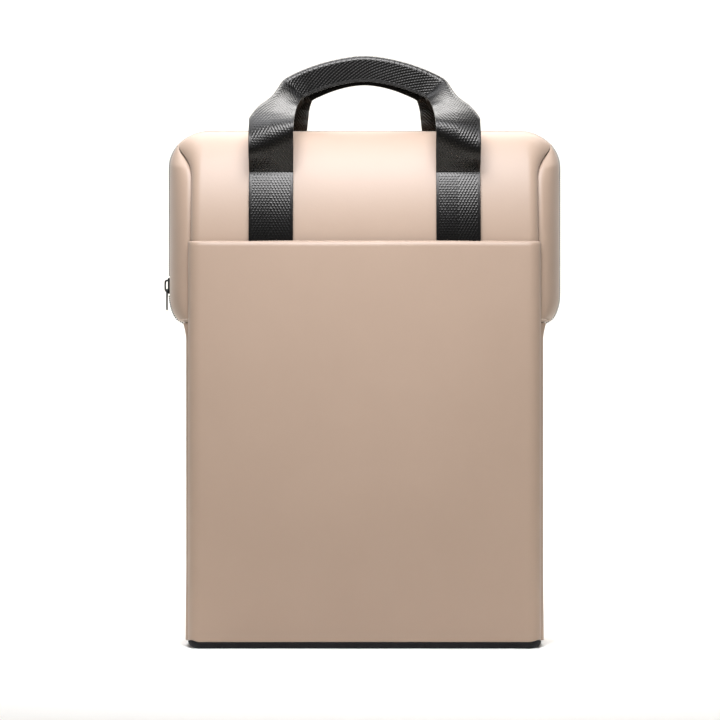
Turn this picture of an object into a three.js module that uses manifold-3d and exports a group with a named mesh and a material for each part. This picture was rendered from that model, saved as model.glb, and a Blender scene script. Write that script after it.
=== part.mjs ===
// A convertible backpack that stands closed: a tall soft box of coated fabric with a slip pocket,
// a zip gusset over its top, two folded webbing handles and two shoulder straps.
// Millimetres, +Z up, front towards -Y, origin on the floor under the middle of the body.

import * as THREE from "three";
import { mergeVertices } from "three/addons/utils/BufferGeometryUtils.js";
import Module from "manifold-3d";

const wasm = await Module();
wasm.setup();

// Body
const BODY_WIDTH = 306; // across the front skin between its side seams
const BODY_DEPTH = 124; // front skin to back skin
const BODY_HEIGHT = 448; // floor to the top of the zip gusset
const SKIN = 1.8; // coated fabric wall
const SEAM_GAP = 0.4; // between two pieces that are sewn together
const SEAM_ROUND = 9; // radius at which a wall turns in to its side seam
const CORNER_ROUND = 22; // the same at the top corners
const TOP_SPREAD = 14; // how much further out the panel reaches at the top corners
const FRONT_ROLL = 103; // height over which the front rolls back to the gusset
const BACK_ROLL = 62;

// Base
const BASE_RIM = 5.4; // height of the base panel's turned-up rim
const BASE_SINK = 2.6; // how far the rim's outer edge curves in to the floor
const CORNER_LIFT = 4.5; // how much higher the rim is at its corners
const LIFT_REACH = 24;

// Zip gusset
const GUSSET_TOP = 13; // zip to the panel's edge along the top
const EAR_REACH = 18; // how far the gusset stands out from the side seam
const EAR_BOTTOM = 280; // height of the gusset's lower ends
const EAR_ROUND = 26; // height of their rounded corner
const EAR_HEM = 3; // how far the lower end itself stands out
const GUSSET_CORNER = 30; // height of the zip's turn at the top corners
const GUSSET_CORNER_WIDTH = 24; // its width
const SIDE_SAG = 3; // how far the side panels fall in

// Zip
const ZIP_WIDTH = 7; // between the gusset's two edges
const ZIP_TAPE = 1.4;
const ZIP_RECESS = 1;

// Slip pocket
const POCKET_HEIGHT = 350; // floor to the pocket's mouth
const POCKET_SLACK = 6.5; // how far the mouth stands open at its middle

// Handles
const WEBBING = 38; // width of the handle webbing
const WEBBING_CLOTH = 1.6;
const HANDLE_SPAN = 161; // between the middles of one handle's legs
const HANDLE_DROP = 39; // from the gusset's top to the stitch line, where the front legs come free
const REAR_DROP = 50; // the same at the back
const HANDLE_RISE = 103; // from the stitch line to the top of the grip
const HANDLE_TUCK = 12; // how far the front legs run down behind the pocket
const FOLD_RADIUS = 2.2; // of the outer face, where the grip is folded in half

// Shoulder straps
const STRAP_WIDTH = 52;
const STRAP_PAD = 8; // thickness of the padded part
const STRAP_STANDOFF = 38; // how far a hanging strap stands off the back
const STRAP_WEBBING = 25;
const STRAP_OVERLAP = 24; // webbing sewn under the end of the pad
const ADJUSTER_WALL = 3;
const ADJUSTER_LENGTH = 13;

// Slider and pull tab
const SLIDER_HEIGHT = 313; // height of the slider's middle
const SLIDER_LENGTH = 14;
const SLIDER_WIDTH = 9;
const SLIDER_PLATE = 1.8;
const BRIDGE_WIDTH = 3;
const BRIDGE_WIRE = 1.4;
const BRIDGE_ROOM = 1.8; // between the slider's plate and its bridge
const BRIDGE_INSET = 1.5; // from the slider's ends to the bridge's ends
const TAB_WIDTH = 8;
const TAB_WIRE = 1.2; // thickness of the tab, and of the bar that hangs under the bridge
const TAB_LENGTH = 19;
const TAB_EYE = 6; // length of the eye that the bridge passes through
const TAB_EYE_WIDTH = 4.4;
const FIT = 0.3; // play between slider, bridge and tab

// Shares of a panel's own grid, which says where its even parts end
const UPRIGHT = 0.6; // share of the rows below the roll
const LEVEL = 0.82; // share of the columns before the seam's turn
const SEAM_TURN = THREE.MathUtils.degToRad(80); // how far a wall turns in at its side seam
const CORNER_TURN = THREE.MathUtils.degToRad(64); // the same at the top corners
const TURN_STEPS = 4; // columns in that turn

const halfWidth = BODY_WIDTH / 2;
const halfDepth = BODY_DEPTH / 2;
const earHalf = halfWidth + EAR_REACH;
const pocketLift = SEAM_GAP + SKIN;
const frontStitch = BODY_HEIGHT - HANDLE_DROP;
const rearStitch = BODY_HEIGHT - REAR_DROP;
const lastTurn = SEAM_TURN * (1 - 0.5 / TURN_STEPS); // of the facet at a wall's edge
const seamClear = SEAM_GAP + SKIN * Math.cos(lastTurn); // clear of that edge's inner corner

const FRONT = { side: -1, roll: FRONT_ROLL };
const BACK = { side: 1, roll: BACK_ROLL };

const clamp01 = (x) => Math.min(1, Math.max(0, x));
const smooth = (x) => clamp01(x) ** 2 * (3 - 2 * clamp01(x));
const mix = THREE.MathUtils.lerp;
const steps = (from, to, count) => Array.from({ length: count + 1 }, (_, i) => mix(from, to, i / count));
const toVector2 = ([x, y]) => new THREE.Vector2(x, y);
const mirrored = (values) => [...values.slice(1).map((x) => -x).reverse(), ...values];

// Height of the seam between the base and the walls, a little higher at the four corners.
function baseSeam(x, y) {
  const nearSide = smooth((Math.abs(x) - halfWidth + LIFT_REACH) / LIFT_REACH);
  const nearFace = smooth((Math.abs(y) - halfDepth + LIFT_REACH) / LIFT_REACH);
  return BASE_RIM + CORNER_LIFT * nearSide * nearFace;
}

// The middle line of the front or back wall, from the base (0) over the roll to the gusset (1).
function wallProfile(wall, up) {
  const turn = (Math.PI / 2) * clamp01((up - UPRIGHT) / (1 - UPRIGHT));
  const reach = halfDepth - GUSSET_TOP;
  const outwards = new THREE.Vector2(Math.cos(turn) / reach, Math.sin(turn) / wall.roll).normalize();
  const spread = smooth((turn / (Math.PI / 2)) * 1.6 - 0.6);
  return {
    y: wall.side * (halfDepth - reach * (1 - Math.cos(turn))),
    z: BODY_HEIGHT - wall.roll * (1 - Math.sin(turn)),
    normalY: wall.side * outwards.x,
    normalZ: outwards.y,
    half: halfWidth + TOP_SPREAD * spread,
    round: mix(SEAM_ROUND, CORNER_ROUND, spread),
    turn: mix(SEAM_TURN, CORNER_TURN, spread),
  };
}

// A point of the wall's outer face: across runs from -1 to 1 between the side seams.
function wallPoint(wall, across, up, lift = 0) {
  const line = wallProfile(wall, up);
  const level = line.half - line.round;
  const turn = (line.turn * Math.max(0, Math.abs(across) - LEVEL)) / (1 - LEVEL);
  const inLevel = level * Math.min(1, Math.abs(across) / LEVEL);
  const x = Math.sign(across) * (inLevel + (line.round + lift) * Math.sin(turn));
  const sink = line.round - (line.round + lift) * Math.cos(turn);
  const y = line.y - sink * line.normalY;
  const top = line.z - sink * line.normalZ;
  const low = baseSeam(x, y) + SEAM_GAP;
  return new THREE.Vector3(x, y, up < UPRIGHT ? mix(low, top, up / UPRIGHT) : top);
}

// How far up the wall's rows a height lies.
function wallShare(wall, z) {
  const start = BODY_HEIGHT - wall.roll;
  const low = BASE_RIM + SEAM_GAP;
  if (z <= start) return (UPRIGHT * (z - low)) / (start - low);
  return UPRIGHT + ((1 - UPRIGHT) * Math.asin(clamp01((z - start) / wall.roll))) / (Math.PI / 2);
}

// Half of the zip's line in the plane of the gusset, from its lower end (0) to the top middle (1).
const SIDE_END = 0.42;
const CORNER_END = 0.58;
function zipLine(along) {
  const z = mix(EAR_BOTTOM, BODY_HEIGHT - GUSSET_CORNER, clamp01(along / SIDE_END));
  const turn = (Math.PI / 2) * clamp01((along - SIDE_END) / (CORNER_END - SIDE_END));
  const level = clamp01((along - CORNER_END) / (1 - CORNER_END));
  const below = clamp01(1 - (z - EAR_BOTTOM) / EAR_ROUND);
  const reach = mix(EAR_HEM, EAR_REACH, Math.sqrt(1 - below ** 2));
  const x = halfWidth + reach - GUSSET_CORNER_WIDTH * (1 - Math.cos(turn));
  return {
    x: x * (1 - level),
    z: z + GUSSET_CORNER * Math.sin(turn),
    outX: Math.cos(turn),
    outZ: Math.sin(turn),
  };
}

// The gusset's edge beside the wall's edge, clear of it backwards and, at the corner, downwards.
function seamLine(wall, along) {
  const cornerMiddle = (SIDE_END + CORNER_END) / 2;
  const cornerStart = mix(UPRIGHT, 1, 0.5);
  let up = mix(wallShare(wall, EAR_BOTTOM), cornerStart, clamp01(along / SIDE_END));
  if (along > SIDE_END) up = mix(cornerStart, 1, clamp01((along - SIDE_END) / (cornerMiddle - SIDE_END)));
  let across = 1;
  if (along > cornerMiddle) {
    across = mix(1, LEVEL, clamp01((along - cornerMiddle) / (CORNER_END - cornerMiddle)));
  }
  if (along > CORNER_END) across = LEVEL * (1 - (along - CORNER_END) / (1 - CORNER_END));
  const down = wallProfile(wall, up).normalZ * clamp01((across - LEVEL) / (1 - LEVEL));
  const back = seamClear + 3 * SEAM_GAP * down;
  const clear = new THREE.Vector3(0, -wall.side * back, -down * (seamClear + SEAM_GAP));
  return wallPoint(wall, across, up).add(clear);
}

// A point of half of the gusset: along runs from -1, the left end, over the top to 1, the right end.
function gussetPoint(wall, along, across) {
  const inward = 1 - Math.abs(along);
  const seam = seamLine(wall, inward);
  const zip = zipLine(inward);
  const edge = new THREE.Vector3(zip.x, (wall.side * ZIP_WIDTH) / 2, zip.z);
  const shoulder = new THREE.Vector3(zip.x, seam.y, zip.z);
  const fullness = 0.62;
  const curve = new THREE.CubicBezierCurve3(
    seam,
    seam.clone().lerp(shoulder, fullness),
    edge.clone().lerp(shoulder, fullness),
    edge,
  );
  const point = curve.getPoint(across);
  if (along < 0) point.x = -point.x;
  return point;
}

// A point of the zip tape, a little below the gusset's two edges.
function tapePoint(along, across) {
  const zip = zipLine(1 - Math.abs(along));
  const side = along < 0 ? -1 : 1;
  const half = ZIP_WIDTH / 2 - SEAM_GAP;
  return new THREE.Vector3(
    side * (zip.x - ZIP_RECESS * zip.outX),
    half * across,
    zip.z - ZIP_RECESS * zip.outZ,
  );
}

// A point of the lower side panel: back runs from 0, the front seam, to 1, the rear seam.
function sidePoint(side, back, up) {
  const z = EAR_BOTTOM - SEAM_GAP;
  const front = wallPoint(FRONT, side, wallShare(FRONT, z) * up);
  const rear = wallPoint(BACK, side, wallShare(BACK, z) * up);
  front.y += seamClear;
  rear.y -= seamClear;
  const point = front.lerp(rear, back);
  const sag = SIDE_SAG * Math.sin(Math.PI * back) * smooth(up * 4);
  point.x -= side * sag;
  point.z = mix(baseSeam(point.x, point.y) + SEAM_GAP, z, up);
  return point;
}

function geometryOf(points, faces) {
  const geometry = new THREE.BufferGeometry().setFromPoints(points);
  geometry.setIndex(faces);
  geometry.computeVertexNormals();
  return geometry;
}

const quad = (a, b, c, d) => [a, b, c, a, c, d];

// A closed sheet: outer(u, v) gives its outer face, and the cloth lies inside it.
function sheet(outer, us, vs, thickness, facing = 1) {
  const columns = us.length;
  const rows = vs.length;
  const face = vs.map((v) => us.map((u) => outer(u, v)));
  const inner = face.map((row, j) =>
    row.map((point, i) => {
      const acrossStep = row[Math.min(i + 1, columns - 1)].clone().sub(row[Math.max(i - 1, 0)]);
      const upStep = face[Math.min(j + 1, rows - 1)][i].clone().sub(face[Math.max(j - 1, 0)][i]);
      const outwards = acrossStep.cross(upStep).normalize().multiplyScalar(facing);
      return point.clone().addScaledVector(outwards, -thickness);
    }),
  );
  const back = columns * rows;
  const at = (i, j) => j * columns + i;
  const faces = [];
  const rim = (a, b) => faces.push(...quad(b, a, a + back, b + back));
  for (let j = 0; j < rows - 1; j += 1) {
    for (let i = 0; i < columns - 1; i += 1) {
      const corners = [at(i, j), at(i + 1, j), at(i + 1, j + 1), at(i, j + 1)];
      faces.push(...quad(...corners));
      faces.push(...quad(...corners.reverse().map((corner) => corner + back)));
    }
    rim(at(columns - 1, j), at(columns - 1, j + 1));
    rim(at(0, j + 1), at(0, j));
  }
  for (let i = 0; i < columns - 1; i += 1) {
    rim(at(i, 0), at(i + 1, 0));
    rim(at(i + 1, rows - 1), at(i, rows - 1));
  }
  if (facing < 0) faces.reverse();
  return geometryOf([...face.flat(), ...inner.flat()], faces);
}

// A closed loft through rings of equally many points, with flat ends.
function loft(rings) {
  const count = rings[0].length;
  const points = rings.flat();
  const faces = [];
  for (let k = 0; k < rings.length - 1; k += 1) {
    for (let i = 0; i < count; i += 1) {
      const next = (i + 1) % count;
      faces.push(...quad(k * count + i, k * count + next, (k + 1) * count + next, (k + 1) * count + i));
    }
  }
  [rings[0], rings.at(-1)].forEach((ring, end) => {
    const middle = ring.reduce((sum, p) => sum.add(p), new THREE.Vector3()).divideScalar(count);
    points.push(middle);
    const start = end ? (rings.length - 1) * count : 0;
    for (let i = 0; i < count; i += 1) {
      const [a, b] = [start + i, start + ((i + 1) % count)];
      faces.push(points.length - 1, end ? a : b, end ? b : a);
    }
  });
  return geometryOf(points, faces);
}

// Moves values taken from a table's column smoothly from row to row.
function column(rows, name, share) {
  const place = clamp01(share) * (rows.length - 1);
  const row = Math.min(Math.floor(place), rows.length - 2);
  return mix(rows[row][name], rows[row + 1][name], place - row);
}

const fabric = new THREE.MeshStandardMaterial({ color: 0xd3bba9, roughness: 0.75 });
const darkFabric = new THREE.MeshStandardMaterial({ color: 0x1a1a1c, roughness: 0.8 });
const webbing = new THREE.MeshStandardMaterial({ color: 0x2c2b2d, roughness: 0.65 });
const metal = new THREE.MeshStandardMaterial({ color: 0x161617, roughness: 0.4, metalness: 0.6 });
const plastic = new THREE.MeshStandardMaterial({ color: 0x1b1b1d, roughness: 0.5 });

const bag = new THREE.Group();
function piece(name, geometry, material) {
  const mesh = new THREE.Mesh(geometry, material);
  mesh.name = name;
  bag.add(mesh);
  return mesh;
}

// Front, pocket and back
const turnColumns = steps(LEVEL, 1, TURN_STEPS);
const wallColumns = mirrored([...steps(0, LEVEL, 3), ...turnColumns.slice(1)]);
const lowRows = [0, 0.03, 0.08, 0.3, UPRIGHT];
const wallRows = [...lowRows, ...steps(UPRIGHT, 1, 10).slice(1)];

piece("front_panel", sheet((u, v) => wallPoint(FRONT, u, v), wallColumns, wallRows, SKIN), fabric);
piece("back_panel", sheet((u, v) => wallPoint(BACK, u, v), wallColumns, wallRows, SKIN, -1), fabric);

function pocketPoint(across, up) {
  const slack = POCKET_SLACK * (1 - across ** 2) * smooth(up * 2.5);
  return wallPoint(FRONT, across, up * wallShare(FRONT, POCKET_HEIGHT), pocketLift + slack);
}
const pocketColumns = mirrored([...steps(0, LEVEL, 5), ...turnColumns.slice(1)]);
const pocketRows = [0, 0.05, 0.12, 0.2, 0.3, 0.45, 0.7, 1];
piece("front_pocket", sheet(pocketPoint, pocketColumns, pocketRows, SKIN), fabric);

// Zip gusset, zip tape and lower side panels
const halfAlong = [
  ...steps(0, SIDE_END * 0.2, 5),
  ...steps(SIDE_END * 0.2, SIDE_END, 4).slice(1),
  ...steps(SIDE_END, CORNER_END, 8).slice(1),
  ...steps(CORNER_END, 1, 3).slice(1),
].map((inward) => 1 - inward).reverse();
const alongRows = mirrored(halfAlong);
const gussetColumns = [0, 0.14, 0.3, 0.5, 0.75, 1];
const frontHalf = (across, along) => gussetPoint(FRONT, along, across);
const rearHalf = (across, along) => gussetPoint(BACK, along, across);
piece("gusset_front", sheet(frontHalf, gussetColumns, alongRows, SKIN, -1), fabric);
piece("gusset_rear", sheet(rearHalf, gussetColumns, alongRows, SKIN, 1), fabric);
const tape = (across, along) => tapePoint(along, across);
piece("zip_tape", sheet(tape, [-1, 1], alongRows, ZIP_TAPE, -1), darkFabric);

const sideRows = [0, 0.04, 0.12, 0.25, 0.6, 1];
[["left", -1], ["right", 1]].forEach(([name, side]) => {
  const outer = (back, up) => sidePoint(side, back, up);
  piece(`side_panel_${name}`, sheet(outer, steps(0, 1, 8), sideRows, SKIN, side), fabric);
});

// Base panel: a shallow tray whose rim follows the seam
function baseRing(inset, height, seamShare) {
  const radius = SEAM_ROUND + pocketLift - Math.min(inset, SEAM_ROUND);
  const x = halfWidth + pocketLift - inset - radius;
  const front = halfDepth + pocketLift - inset - radius;
  const rear = halfDepth - inset - radius;
  const corners = [[x, rear], [-x, rear], [-x, -front], [x, -front]];
  return corners.flatMap(([cornerX, cornerY], k) => {
    const [nextX, nextY] = corners[(k + 1) % 4];
    const arc = steps(k * 90, (k + 1) * 90, 4).map((degrees) => {
      const angle = THREE.MathUtils.degToRad(degrees);
      return [cornerX + radius * Math.cos(angle), cornerY + radius * Math.sin(angle)];
    });
    const [endX, endY] = arc.at(-1);
    const run = [nextX - cornerX, nextY - cornerY];
    const length = Math.hypot(...run);
    const between = [8, 16, 28, length - 28, length - 16, length - 8].map((distance) => {
      const share = distance / length;
      return [endX + run[0] * share, endY + run[1] * share];
    });
    return [...arc, ...between].map(
      ([px, py]) => new THREE.Vector3(px, py, height + seamShare * baseSeam(px, py)),
    );
  });
}
const baseRings = [
  baseRing(BASE_SINK + 4, 0, 0),
  baseRing(BASE_SINK, 0, 0),
  baseRing(BASE_SINK * 0.25, 0, 0.4),
  baseRing(0, 0, 1),
  baseRing(SKIN, 0, 1),
  baseRing(SKIN + BASE_SINK * 0.4, SKIN * 0.7, 0.4),
  baseRing(SKIN + BASE_SINK + 2, SKIN, 0),
];
piece("base_panel", loft(baseRings), darkFabric);

// Handles: one webbing each, swept along the fold line in its middle
// across: share of half the span; out: share of half the body's depth; up: share of the rise
// above the stitch line; fold: 0 flat, 1 folded in half
const FREE_FRONT = [
  { across: 1.0, out: 0.89, up: 0.035, fold: 0 },
  { across: 1.0, out: 1.09, up: 0.2, fold: 0 },
  { across: 0.995, out: 1.07, up: 0.38, fold: 0 },
  { across: 0.975, out: 0.86, up: 0.55, fold: 0.03 },
  { across: 0.945, out: 0.55, up: 0.7, fold: 0.25 },
  { across: 0.895, out: 0.28, up: 0.79, fold: 0.7 },
  { across: 0.81, out: 0.13, up: 0.845, fold: 1 },
  { across: 0.67, out: 0.1, up: 0.885, fold: 1 },
  { across: 0.5, out: 0.09, up: 0.935, fold: 1 },
  { across: 0.28, out: 0.085, up: 0.98, fold: 1 },
  { across: 0, out: 0.083, up: 1, fold: 1 },
];
const FREE_REAR = [
  { across: 0.97, out: 1.06, up: 0.2, fold: 0 },
  { across: 0.91, out: 1.02, up: 0.38, fold: 0 },
  { across: 0.86, out: 0.82, up: 0.54, fold: 0.03 },
  { across: 0.84, out: 0.54, up: 0.68, fold: 0.25 },
  { across: 0.81, out: 0.28, up: 0.77, fold: 0.7 },
  { across: 0.75, out: 0.13, up: 0.82, fold: 1 },
  { across: 0.63, out: 0.1, up: 0.86, fold: 1 },
  { across: 0.48, out: 0.09, up: 0.91, fold: 1 },
  { across: 0.27, out: 0.085, up: 0.955, fold: 1 },
  { across: 0, out: 0.083, up: 0.975, fold: 1 },
];

// The sewn part of a leg lies on the wall from low up to the stitch line.
function sewnRows(wall, low, stitch) {
  return [0, 0.25, 0.5, 0.7, 0.85, 0.95, 1].map((share) => {
    const height = mix(low, stitch, share);
    const line = wallProfile(wall, wallShare(wall, height));
    const lift = SEAM_GAP + WEBBING_CLOTH;
    const z = Math.min(height, line.z) + lift * line.normalZ;
    return new THREE.Vector3(HANDLE_SPAN / 2, line.y + lift * line.normalY, z);
  });
}

function handle(wall, stitch, low, freeRows) {
  const half = HANDLE_SPAN / 2;
  const free = freeRows.map(
    ({ across, out, up }) =>
      new THREE.Vector3(across * half, wall.side * out * halfDepth, frontStitch + up * HANDLE_RISE),
  );
  const leg = [...sewnRows(wall, low, stitch), ...free].map((p) => p.setX(-p.x));
  const folds = [...leg.slice(free.length).map(() => 0), ...freeRows.map((row) => row.fold)];
  const other = leg.slice(0, -1).reverse().map((p) => new THREE.Vector3(-p.x, p.y, p.z));
  const spine = new THREE.CatmullRomCurve3([...leg, ...other], false, "centripetal");
  const foldRows = [...folds, ...folds.slice(0, -1).reverse()].map((fold) => ({ fold }));
  const depthwise = new THREE.Vector3(0, -wall.side, 0);
  const outer = (from, along) => {
    const tangent = spine.getTangent(along);
    const inside = depthwise.clone().cross(tangent).multiplyScalar(-wall.side).normalize();
    const behind = tangent.clone().cross(inside).multiplyScalar(-wall.side).normalize();
    const turn = Math.PI * smooth(column(foldRows, "fold", along));
    const past = Math.max(0, -from) * (WEBBING / 2);
    const bent = Math.min(past, FOLD_RADIUS * Math.PI) / FOLD_RADIUS;
    const angle = Math.min(bent, Math.PI) * (turn / Math.PI);
    const spread = turn > 0.01 ? (FOLD_RADIUS * Math.PI) / turn : 0;
    const bendIn = turn > 0.01 ? spread * Math.sin(angle) : Math.min(past, FOLD_RADIUS * Math.PI);
    const bendBack = turn > 0.01 ? spread * (1 - Math.cos(angle)) : 0;
    const rest = Math.max(0, past - FOLD_RADIUS * Math.PI);
    const inwards = Math.max(0, from) * (WEBBING / 2) - bendIn - rest * Math.cos(turn);
    const backwards = bendBack + rest * Math.sin(turn);
    return spine.getPoint(along).addScaledVector(inside, inwards).addScaledVector(behind, backwards);
  };
  const bend = (FOLD_RADIUS * Math.PI) / (WEBBING / 2);
  const across = [-1, -(1 + bend) / 2, ...steps(-bend, 0, 4), 0.5, 1];
  const stations = 2 * (leg.length - 1);
  return sheet(outer, across, steps(0, 1, stations * 2), WEBBING_CLOTH, -wall.side);
}

const frontLow = POCKET_HEIGHT - HANDLE_TUCK;
const rearLow = rearStitch - (frontStitch - frontLow);
piece("handle_front", handle(FRONT, frontStitch, frontLow, FREE_FRONT), webbing);
piece("handle_rear", handle(BACK, rearStitch, rearLow, FREE_REAR), webbing);

// Shoulder straps: a padded band that hangs off the back, then narrow webbing to the lower side
// across: share of half the body's width; off: share of the stand-off; up: share of its height
const PAD_PATH = [
  { across: 0.21, off: 0, up: 0.79 },
  { across: 0.21, off: 0, up: 0.82 },
  { across: 0.22, off: 0.12, up: 0.85 },
  { across: 0.24, off: 0.5, up: 0.862 },
  { across: 0.28, off: 0.86, up: 0.82 },
  { across: 0.33, off: 1.02, up: 0.73 },
  { across: 0.4, off: 1.0, up: 0.61 },
  { across: 0.48, off: 0.9, up: 0.49 },
  { across: 0.54, off: 0.78, up: 0.4 },
];
const WEBBING_PATH = [
  { across: 0.64, off: 0.56, up: 0.28 },
  { across: 0.76, off: 0.22, up: 0.16 },
  { across: 0.82, off: 0.02, up: 0.1 },
  { across: 0.83, off: 0, up: 0.075 },
  { across: 0.84, off: 0, up: 0.05 },
];

// The points of a strap's path on one side, at a lift above the back wall.
function strapPoints(path, side, lift) {
  const wall = halfDepth + SEAM_GAP + lift;
  return path.map(
    ({ across, off, up }) =>
      new THREE.Vector3(side * across * halfWidth, wall + off * STRAP_STANDOFF, up * BODY_HEIGHT),
  );
}

const curveThrough = (points) => new THREE.CatmullRomCurve3(points, false, "centripetal");

// Directions at a place of a strap: along it, level across it, and out of its outer face.
function strapFrame(curve, share) {
  const along = curve.getTangentAt(share);
  const level = new THREE.Vector3(1, 0, 0);
  level.addScaledVector(along, -level.dot(along)).normalize();
  return { along, level, outwards: level.clone().cross(along), place: curve.getPointAt(share) };
}

function band(curve, width, thickness, stations) {
  const outer = (across, share) => {
    const { place, level } = strapFrame(curve, share);
    return place.addScaledVector(level, (across * width) / 2);
  };
  return sheet(outer, [-1, 0, 1], steps(0, 1, stations), thickness);
}

// A flat ring that the webbing passes through, just below the end of the pad.
function adjuster(curve, share) {
  const { along, level, outwards, place } = strapFrame(curve, share);
  const frame = (halfX, halfY) => [[-halfX, -halfY], [halfX, -halfY], [halfX, halfY], [-halfX, halfY]];
  const roomX = STRAP_WEBBING / 2 + FIT;
  const roomY = WEBBING_CLOTH / 2 + FIT;
  const shape = new THREE.Shape(frame(roomX + ADJUSTER_WALL, roomY + ADJUSTER_WALL / 2).map(toVector2));
  shape.holes.push(new THREE.Path(frame(roomX, roomY).map(toVector2)));
  const ring = new THREE.ExtrudeGeometry(shape, { depth: ADJUSTER_LENGTH, bevelEnabled: false });
  ring.translate(0, -WEBBING_CLOTH / 2, -ADJUSTER_LENGTH / 2);
  const turned = new THREE.Matrix4().makeBasis(level, outwards, along.negate()).setPosition(place);
  return ring.applyMatrix4(turned);
}

[["left", -1], ["right", 1]].forEach(([name, side]) => {
  const pad = curveThrough(strapPoints(PAD_PATH, side, 0));
  piece(`shoulder_strap_${name}`, band(pad, STRAP_WIDTH, STRAP_PAD, 24), fabric);
  const overlap = STRAP_OVERLAP / pad.getLength();
  const sewn = steps(1 - overlap, 1, 3).map((share) => {
    const { place, outwards } = strapFrame(pad, share);
    return place.addScaledVector(outwards, SEAM_GAP + WEBBING_CLOTH);
  });
  const lower = curveThrough([...sewn, ...strapPoints(WEBBING_PATH, side, WEBBING_CLOTH)]);
  piece(`strap_webbing_${name}`, band(lower, STRAP_WEBBING, WEBBING_CLOTH, 18), webbing);
  const below = (STRAP_OVERLAP + ADJUSTER_LENGTH) / lower.getLength();
  piece(`strap_adjuster_${name}`, adjuster(lower, below), plastic);
});

// Zip slider on the left side: a foot between the gusset's edges, a plate over them and a bridge
function solidOf(geometry) {
  const plain = geometry.index ? geometry.toNonIndexed() : geometry.clone();
  plain.deleteAttribute("normal");
  plain.deleteAttribute("uv");
  const merged = mergeVertices(plain, 1e-4);
  return new wasm.Manifold(
    new wasm.Mesh({
      numProp: 3,
      vertProperties: merged.attributes.position.array,
      triVerts: new Uint32Array(merged.index.array),
    }),
  );
}

function geometryFrom(solid) {
  const { vertProperties, triVerts } = solid.getMesh();
  const geometry = new THREE.BufferGeometry();
  geometry.setAttribute("position", new THREE.BufferAttribute(vertProperties, 3));
  geometry.setIndex(new THREE.BufferAttribute(triVerts, 1));
  geometry.computeVertexNormals();
  return geometry;
}

// A box that stands out from the body's left side by near to far, centred on the zip.
function sideBox(near, far, width, low, high) {
  const box = new THREE.BoxGeometry(far - near, width, high - low);
  return solidOf(box.translate(-(near + far) / 2, 0, (low + high) / 2));
}

const sliderLow = SLIDER_HEIGHT - SLIDER_LENGTH / 2;
const sliderHigh = SLIDER_HEIGHT + SLIDER_LENGTH / 2;
const tapeFace = earHalf - ZIP_RECESS;
const plateNear = earHalf + FIT;
const plateFar = plateNear + SLIDER_PLATE;
const bridgeFar = plateFar + BRIDGE_ROOM + BRIDGE_WIRE;
const bridgeLow = sliderLow + BRIDGE_INSET;
const bridgeHigh = sliderHigh - BRIDGE_INSET;
const channel = ZIP_WIDTH - 2 * FIT;

const foot = sideBox(tapeFace + FIT, plateNear + SLIDER_PLATE / 2, channel, sliderLow, sliderHigh);
const plate = sideBox(plateNear, plateFar, SLIDER_WIDTH, sliderLow, sliderHigh);
const arch = sideBox(plateFar - SLIDER_PLATE / 2, bridgeFar, BRIDGE_WIDTH, bridgeLow, bridgeHigh);
const bridgeHole = sideBox(
  plateFar,
  plateFar + BRIDGE_ROOM,
  BRIDGE_WIDTH * 2,
  bridgeLow + BRIDGE_WIRE,
  bridgeHigh - BRIDGE_WIRE,
);
piece("zip_slider", geometryFrom(foot.add(plate).add(arch.subtract(bridgeHole))), metal);

// Pull tab: its top bar hangs in the bridge, and its eye goes round the bridge's lower leg
const barMiddle = plateFar + BRIDGE_ROOM / 2;
const barHeight = bridgeLow + BRIDGE_WIRE + BRIDGE_ROOM / 2;
const tabNear = barMiddle - TAB_WIRE / 2;
const tabFar = barMiddle + TAB_WIRE / 2;
const tabTop = barHeight + TAB_WIRE / 2;
const eyeTop = barHeight - TAB_WIRE / 2;
const tabPlate = sideBox(tabNear, tabFar, TAB_WIDTH, tabTop - TAB_LENGTH, tabTop);
const eye = sideBox(tabNear - FIT, tabFar + FIT, TAB_EYE_WIDTH, eyeTop - TAB_EYE, eyeTop);
piece("zip_pull", geometryFrom(tabPlate.subtract(eye)), metal);

export default bag;
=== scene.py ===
import bisect
import math

import bmesh
import bpy
from mathutils import Matrix, Vector


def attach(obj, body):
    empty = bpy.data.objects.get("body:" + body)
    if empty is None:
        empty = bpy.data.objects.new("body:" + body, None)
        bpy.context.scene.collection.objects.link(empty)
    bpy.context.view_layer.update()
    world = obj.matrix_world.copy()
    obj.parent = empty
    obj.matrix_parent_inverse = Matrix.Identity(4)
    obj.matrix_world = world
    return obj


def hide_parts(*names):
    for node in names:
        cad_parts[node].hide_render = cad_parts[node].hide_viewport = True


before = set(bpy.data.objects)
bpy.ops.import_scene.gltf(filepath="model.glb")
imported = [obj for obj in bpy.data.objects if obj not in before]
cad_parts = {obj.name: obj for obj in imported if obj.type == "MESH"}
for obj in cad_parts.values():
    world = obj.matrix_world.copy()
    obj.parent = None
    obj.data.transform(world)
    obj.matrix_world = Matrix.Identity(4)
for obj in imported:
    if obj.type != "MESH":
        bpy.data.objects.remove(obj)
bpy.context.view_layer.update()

MM = 0.001  # sizes below are in millimetres, and meshes in metres

# Body
BODY_WIDTH = 306
BODY_DEPTH = 124
BODY_HEIGHT = 448
SKIN = 1.8
SEAM_GAP = 0.4
SEAM_ROUND = 9
SEAM_INSET = 3.2  # of the walls' side seams from the body's width, which the side panels fill
SEAM_GROOVE = 1.1
GROOVE_SHARE = 0.05  # of the gusset's half width
CORNER_ROUND = 40
TOP_SPREAD = 25.2
SPREAD_RATE = 1.7  # how late in the roll the wall spreads to its corners: more is later
FRONT_ROLL = 103
BACK_ROLL = 62

# Base
BASE_RIM = 5.4
BASE_SINK = 2.6
CORNER_LIFT = 2
LIFT_REACH = 12
END_LIFT = 2.2
END_REACH = 14
BASE_FLAT = 0.4  # share of the base's rows that lie on the floor

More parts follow.
